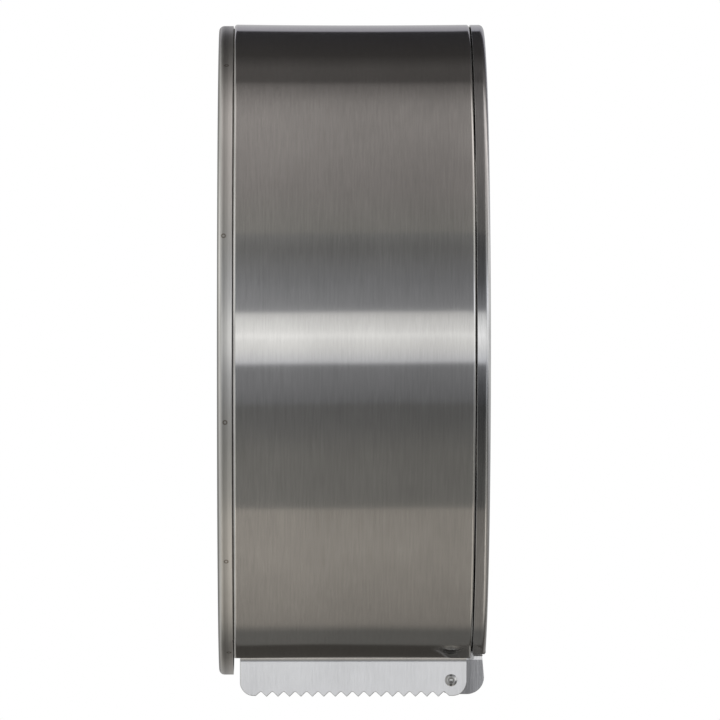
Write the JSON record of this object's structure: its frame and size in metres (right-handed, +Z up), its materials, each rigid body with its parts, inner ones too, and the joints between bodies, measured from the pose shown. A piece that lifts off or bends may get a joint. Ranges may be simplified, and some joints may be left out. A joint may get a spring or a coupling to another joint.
{
  "type": "jumbo roll dispenser",
  "caption": "Wall-mounted round sheet-steel dispenser for a jumbo paper roll, with a hinged front cover, a turning hub and a serrated tear mouth underneath.",
  "frame": {"origin": "Centre of the rectangle of four wall-screw holes, on the back plate's rear face, which is also the drum's axis.", "axes": "+Z up the wall, +Y into the wall so that -Y is the front, +X to the right as seen from the front."},
  "size_m": [0.3, 0.1212, 0.3073],
  "materials": {
    "brushed_steel": "brushed round the drum",
    "cover_steel": "fine brushed face, polished rim",
    "blade_steel": "fine brushed",
    "fastener_steel": "turned or pressed, bright",
    "chromed_zinc": "bright plated",
    "white_plastic": "moulded satin",
    "grey_plastic": "moulded satin",
    "black_rubber": "matt"
  },
  "bodies": {
    "housing": {"back_plate": "brushed_steel", "joining_ring": "brushed_steel", "drum_wall": "brushed_steel", "seat_ring": "brushed_steel", "blade_left": "blade_steel", "blade_right": "blade_steel", "hinge_rivets": "fastener_steel", "hinge_washers": "white_plastic", "cover_buffers": "black_rubber", "spindle_base": "fastener_steel", "base_rivets": "fastener_steel", "spindle_axle": "fastener_steel", "drag_spring": "fastener_steel", "drag_washer": "white_plastic", "axle_washer": "fastener_steel", "retaining_clip": "fastener_steel"},
    "core_hub": {"hub_disc": "grey_plastic", "hub_sleeve": "white_plastic", "hub_rear_bush": "grey_plastic", "hub_front_bush": "grey_plastic", "hub_cap": "grey_plastic"},
    "front_cover": {"cover_panel": "cover_steel", "hinge_bracket": "brushed_steel", "lock_barrel": "chromed_zinc", "lock_nut": "chromed_zinc"},
    "lock_core": {"lock_plug": "chromed_zinc", "lock_cam": "fastener_steel", "cam_screw": "fastener_steel"}
  },
  "joints": [
    {"name": "cover_hinge", "type": "hinge", "parent": "housing", "child": "front_cover", "pos_m": [0, -0.1056, -0.14989], "axis": [1, 0, 0], "range_deg": [0, 170]},
    {"name": "lock_turn", "type": "hinge", "parent": "front_cover", "child": "lock_core", "pos_m": [0, -0.1158, 0.121], "axis": [0, 1, 0], "range_deg": [0, 90]},
    {"name": "hub_spin", "type": "hinge", "parent": "housing", "child": "core_hub", "pos_m": [0, -0.058, 0], "axis": [0, 1, 0], "continuous": true}
  ]
}
